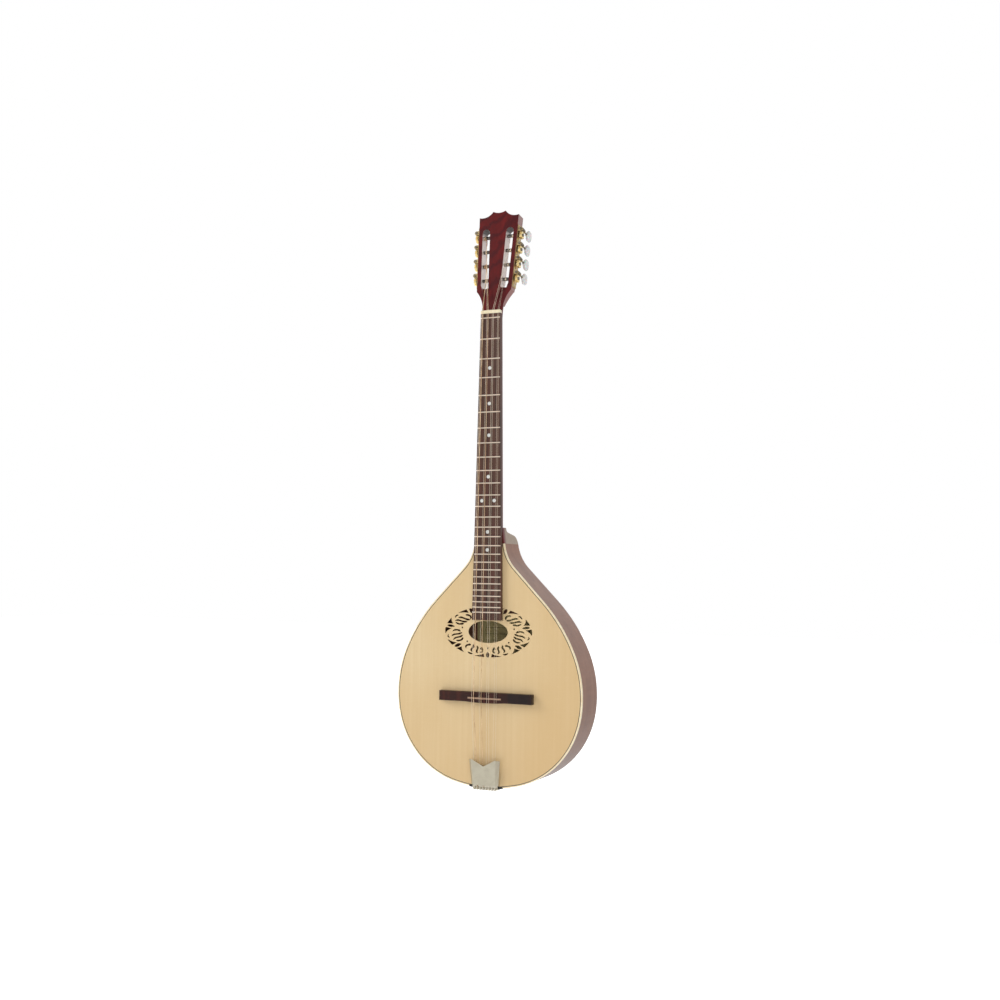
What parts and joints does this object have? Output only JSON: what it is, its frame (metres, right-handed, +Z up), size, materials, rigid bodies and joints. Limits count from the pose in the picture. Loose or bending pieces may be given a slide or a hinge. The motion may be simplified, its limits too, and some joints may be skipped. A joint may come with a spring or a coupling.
{
  "type": "bouzouki",
  "caption": "Flat-top bouzouki with a pear-shaped body, pierced oval soundhole ornament, slotted headstock with geared machine heads, floating bridge and tailpiece.",
  "frame": {"origin": "middle of the zero fret, on the centre line, in the plane of the soundboard's front face", "axes": "+X to the right seen from the front, +Y from the front to the back, +Z up the neck towards the headstock"},
  "size_m": [0.341, 0.0899, 1.0006],
  "materials": {
    "spruce": "clear gloss lacquer, fine straight grain",
    "red_wood": "red-brown stain under gloss lacquer",
    "dark_wood": "oiled dark wood",
    "board_wood": "oiled brown wood",
    "inner_wood": "unfinished",
    "paper": "aged plain paper",
    "cream": "polished",
    "bone": "polished bone",
    "dark_line": "polished",
    "pearl": "pearly",
    "black": "polished",
    "fret_metal": "polished nickel silver",
    "nickel": "bright nickel plate",
    "brass": "bright",
    "post_metal": "turned",
    "bronze_string": "wound wire",
    "steel_string": "drawn wire",
    "pearl_plastic": "cloudy, slightly see-through"
  },
  "bodies": {
    "instrument": {"soundboard": "spruce", "back_plate": "red_wood", "side_left": "red_wood", "side_right": "red_wood", "neck_block": "inner_wood", "tail_block": "inner_wood", "linings": "inner_wood", "braces": "inner_wood", "label": "paper", "binding": "cream", "purfling": "dark_line", "neck": "red_wood", "headstock": "red_wood", "fingerboard": "board_wood", "frets": "fret_metal", "position_dots": "pearl", "nut": "bone", "bridge": "dark_wood", "saddle": "bone", "tail_saddle": "black", "tailpiece_base": "nickel", "tailpiece_cover": "nickel", "tailpiece_screws": "nickel", "strings_wound": "bronze_string", "strings_plain": "steel_string", "tuner_plate_left": "nickel", "tuner_plate_right": "nickel", "tuner_screws": "nickel"},
    "tuner_right_1_roller": {"tuner_right_1_gear": "brass", "tuner_right_1_post": "post_metal"},
    "tuner_right_1_key": {"tuner_right_1_worm": "nickel", "tuner_right_1_button": "pearl_plastic"},
    "tuner_right_2_roller": {"tuner_right_2_gear": "brass", "tuner_right_2_post": "post_metal"},
    "tuner_right_2_key": {"tuner_right_2_worm": "nickel", "tuner_right_2_button": "pearl_plastic"},
    "tuner_right_3_roller": {"tuner_right_3_gear": "brass", "tuner_right_3_post": "post_metal"},
    "tuner_right_3_key": {"tuner_right_3_worm": "nickel", "tuner_right_3_button": "pearl_plastic"},
    "tuner_right_4_roller": {"tuner_right_4_gear": "brass", "tuner_right_4_post": "post_metal"},
    "tuner_right_4_key": {"tuner_right_4_worm": "nickel", "tuner_right_4_button": "pearl_plastic"},
    "tuner_left_1_roller": {"tuner_left_1_gear": "brass", "tuner_left_1_post": "post_metal"},
    "tuner_left_1_key": {"tuner_left_1_worm": "nickel", "tuner_left_1_button": "pearl_plastic"},
    "tuner_left_2_roller": {"tuner_left_2_gear": "brass", "tuner_left_2_post": "post_metal"},
    "tuner_left_2_key": {"tuner_left_2_worm": "nickel", "tuner_left_2_button": "pearl_plastic"},
    "tuner_left_3_roller": {"tuner_left_3_gear": "brass", "tuner_left_3_post": "post_metal"},
    "tuner_left_3_key": {"tuner_left_3_worm": "nickel", "tuner_left_3_button": "pearl_plastic"},
    "tuner_left_4_roller": {"tuner_left_4_gear": "brass", "tuner_left_4_post": "post_metal"},
    "tuner_left_4_key": {"tuner_left_4_worm": "nickel", "tuner_left_4_button": "pearl_plastic"}
  },
  "joints": [
    {"name": "tuner_right_1_roller_spin", "type": "hinge", "parent": "instrument", "child": "tuner_right_1_roller", "pos_m": [0.03904, 0.01671, 0.07028], "axis": [0.9994, -0.0046, -0.0339], "continuous": true},
    {"name": "tuner_right_1_key_spin", "type": "hinge", "parent": "instrument", "child": "tuner_right_1_key", "pos_m": [0.03937, 0.01801, 0.07979], "axis": [0, 0.9907, -0.1357], "continuous": true},
    {"name": "tuner_right_2_roller_spin", "type": "hinge", "parent": "instrument", "child": "tuner_right_2_roller", "pos_m": [0.03995, 0.02029, 0.09644], "axis": [0.9994, -0.0046, -0.0339], "continuous": true},
    {"name": "tuner_right_2_key_spin", "type": "hinge", "parent": "instrument", "child": "tuner_right_2_key", "pos_m": [0.04028, 0.02159, 0.10595], "axis": [0, 0.9907, -0.1357], "continuous": true},
    {"name": "tuner_right_3_roller_spin", "type": "hinge", "parent": "instrument", "child": "tuner_right_3_roller", "pos_m": [0.04085, 0.02387, 0.1226], "axis": [0.9994, -0.0046, -0.0339], "continuous": true},
    {"name": "tuner_right_3_key_spin", "type": "hinge", "parent": "instrument", "child": "tuner_right_3_key", "pos_m": [0.04118, 0.02517, 0.1321], "axis": [0, 0.9907, -0.1357], "continuous": true},
    {"name": "tuner_right_4_roller_spin", "type": "hinge", "parent": "instrument", "child": "tuner_right_4_roller", "pos_m": [0.04176, 0.02746, 0.14875], "axis": [0.9994, -0.0046, -0.0339], "continuous": true},
    {"name": "tuner_right_4_key_spin", "type": "hinge", "parent": "instrument", "child": "tuner_right_4_key", "pos_m": [0.04209, 0.02876, 0.15826], "axis": [0, 0.9907, -0.1357], "continuous": true},
    {"name": "tuner_left_1_roller_spin", "type": "hinge", "parent": "instrument", "child": "tuner_left_1_roller", "pos_m": [-0.03904, 0.01671, 0.07028], "axis": [-0.9994, -0.0046, -0.0339], "continuous": true},
    {"name": "tuner_left_1_key_spin", "type": "hinge", "parent": "instrument", "child": "tuner_left_1_key", "pos_m": [-0.03937, 0.01801, 0.07979], "axis": [0, 0.9907, -0.1357], "continuous": true},
    {"name": "tuner_left_2_roller_spin", "type": "hinge", "parent": "instrument", "child": "tuner_left_2_roller", "pos_m": [-0.03995, 0.02029, 0.09644], "axis": [-0.9994, -0.0046, -0.0339], "continuous": true},
    {"name": "tuner_left_2_key_spin", "type": "hinge", "parent": "instrument", "child": "tuner_left_2_key", "pos_m": [-0.04028, 0.02159, 0.10595], "axis": [0, 0.9907, -0.1357], "continuous": true},
    {"name": "tuner_left_3_roller_spin", "type": "hinge", "parent": "instrument", "child": "tuner_left_3_roller", "pos_m": [-0.04085, 0.02387, 0.1226], "axis": [-0.9994, -0.0046, -0.0339], "continuous": true},
    {"name": "tuner_left_3_key_spin", "type": "hinge", "parent": "instrument", "child": "tuner_left_3_key", "pos_m": [-0.04118, 0.02517, 0.1321], "axis": [0, 0.9907, -0.1357], "continuous": true},
    {"name": "tuner_left_4_roller_spin", "type": "hinge", "parent": "instrument", "child": "tuner_left_4_roller", "pos_m": [-0.04176, 0.02746, 0.14875], "axis": [-0.9994, -0.0046, -0.0339], "continuous": true},
    {"name": "tuner_left_4_key_spin", "type": "hinge", "parent": "instrument", "child": "tuner_left_4_key", "pos_m": [-0.04209, 0.02876, 0.15826], "axis": [0, 0.9907, -0.1357], "continuous": true}
  ],
  "couplings": [
    {"joint": "tuner_right_1_roller_spin", "follows": "tuner_right_1_key_spin", "ratio": 0.071429},
    {"joint": "tuner_right_2_roller_spin", "follows": "tuner_right_2_key_spin", "ratio": 0.071429},
    {"joint": "tuner_right_3_roller_spin", "follows": "tuner_right_3_key_spin", "ratio": 0.071429},
    {"joint": "tuner_right_4_roller_spin", "follows": "tuner_right_4_key_spin", "ratio": 0.071429},
    {"joint": "tuner_left_1_roller_spin", "follows": "tuner_left_1_key_spin", "ratio": 0.071429},
    {"joint": "tuner_left_2_roller_spin", "follows": "tuner_left_2_key_spin", "ratio": 0.071429},
    {"joint": "tuner_left_3_roller_spin", "follows": "tuner_left_3_key_spin", "ratio": 0.071429},
    {"joint": "tuner_left_4_roller_spin", "follows": "tuner_left_4_key_spin", "ratio": 0.071429}
  ]
}
